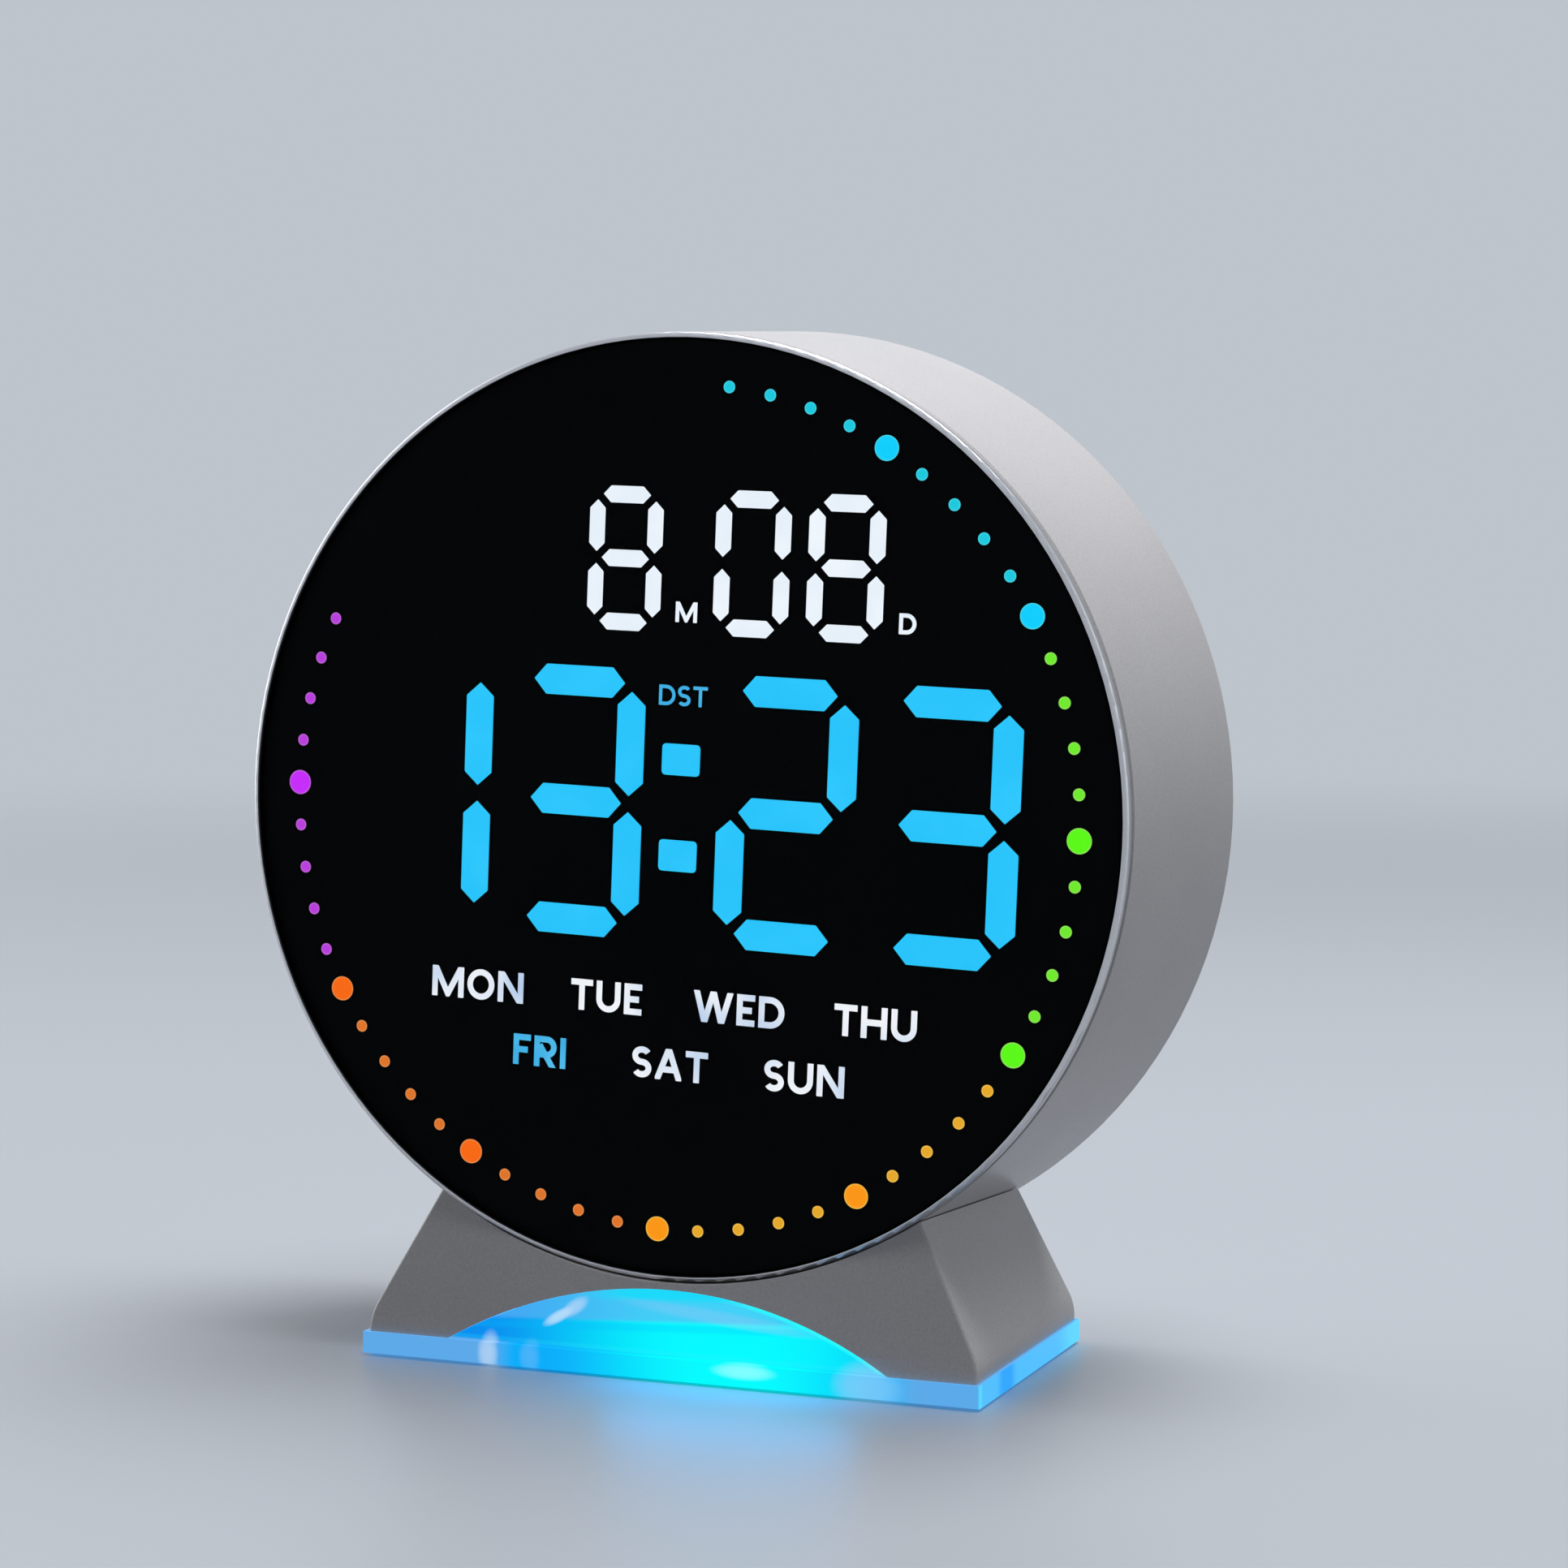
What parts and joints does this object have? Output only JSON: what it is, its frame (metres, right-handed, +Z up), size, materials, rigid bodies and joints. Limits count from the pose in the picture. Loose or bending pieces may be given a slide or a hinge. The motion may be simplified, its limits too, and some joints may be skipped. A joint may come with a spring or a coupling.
{
  "type": "desk clock",
  "caption": "Round digital desk clock: a drum with seven-segment time and date digits, weekday words and a ring of second dots, on a silver stand over an edge-lit clear base.",
  "frame": {"origin": "on the table under the middle of the clock's overall box", "axes": "+Z up, +X to the right seen from the front, +Y from the front face to the back"},
  "size_m": [0.1596, 0.0568, 0.1724],
  "materials": {
    "silver_paint": "satin silver metallic paint over plastic, fine grain",
    "rear_plastic": "fine-textured silver-grey plastic",
    "button_plastic": "satin grey plastic",
    "lens_acrylic": "polished clear acrylic over a black print",
    "black_film": "opaque black print",
    "cyan_window": "tinted print lit from behind",
    "white_window": "tinted print lit from behind",
    "dark_window": "tinted print, unlit",
    "dot_cyan": "tinted print lit from behind",
    "dot_green": "tinted print lit from behind",
    "dot_amber": "tinted print lit from behind",
    "dot_orange": "tinted print lit from behind",
    "dot_purple": "tinted print lit from behind",
    "white_plastic": "plain moulded white plastic",
    "board_green": "green solder mask on fibreglass",
    "black_plastic": "moulded black plastic",
    "lamp_white": "lamp package with a clear yellow-white face",
    "steel": "plain bright steel",
    "cable_grey": "grey flat cable",
    "guide_acrylic": "polished clear acrylic, edge-lit blue",
    "foot_rubber": "soft translucent grey rubber"
  },
  "bodies": {
    "clock": {"drum_housing": "silver_paint", "bezel_ring": "silver_paint", "stand_shell": "silver_paint", "rear_cover": "rear_plastic", "cell_door": "rear_plastic", "front_lens": "lens_acrylic", "mask_film": "black_film", "time_segments_lit": "cyan_window", "colon_windows": "cyan_window", "friday_letters": "cyan_window", "summer_time_letters": "cyan_window", "date_segments_lit": "white_window", "month_day_letters": "white_window", "weekday_letters": "white_window", "time_segments_unlit": "dark_window", "date_segments_unlit": "dark_window", "second_dots_unlit": "dark_window", "second_dots_cyan": "dot_cyan", "second_dots_green": "dot_green", "second_dots_amber": "dot_amber", "second_dots_orange": "dot_orange", "second_dots_purple": "dot_purple", "reflector_housing": "white_plastic", "link_headers": "white_plastic", "lamp_header": "white_plastic", "main_board": "board_green", "rear_board": "board_green", "lamp_strip": "board_green", "controller_chip": "black_plastic", "driver_chips": "black_plastic", "buzzer": "black_plastic", "cell_holder": "black_plastic", "socket_tongue": "black_plastic", "push_switches": "black_plastic", "display_lamps": "lamp_white", "strip_lamps": "lamp_white", "clock_crystal": "steel", "board_screws": "steel", "rear_board_screws": "steel", "cover_screws": "steel", "door_screw": "steel", "stand_screws": "steel", "guide_screws": "steel", "backup_cell": "steel", "cell_clip": "steel", "power_socket": "steel", "link_ribbon": "cable_grey", "lamp_lead": "cable_grey", "light_guide": "guide_acrylic", "rubber_feet": "foot_rubber"},
    "set_button": {"button_set": "button_plastic", "plunger_set": "black_plastic"},
    "up_button": {"button_up": "button_plastic", "plunger_up": "black_plastic"},
    "down_button": {"button_down": "button_plastic", "plunger_down": "black_plastic"},
    "light_button": {"button_light": "button_plastic", "plunger_light": "black_plastic"}
  },
  "joints": [
    {"name": "set_press", "type": "slide", "parent": "clock", "child": "set_button", "axis": [0, -1, 0], "range_m": [0, 0.0005], "stiffness_N_per_m": 1000},
    {"name": "up_press", "type": "slide", "parent": "clock", "child": "up_button", "axis": [0, -1, 0], "range_m": [0, 0.0005], "stiffness_N_per_m": 1000},
    {"name": "down_press", "type": "slide", "parent": "clock", "child": "down_button", "axis": [0, -1, 0], "range_m": [0, 0.0005], "stiffness_N_per_m": 1000},
    {"name": "light_press", "type": "slide", "parent": "clock", "child": "light_button", "axis": [0, -1, 0], "range_m": [0, 0.0005], "stiffness_N_per_m": 1000}
  ]
}
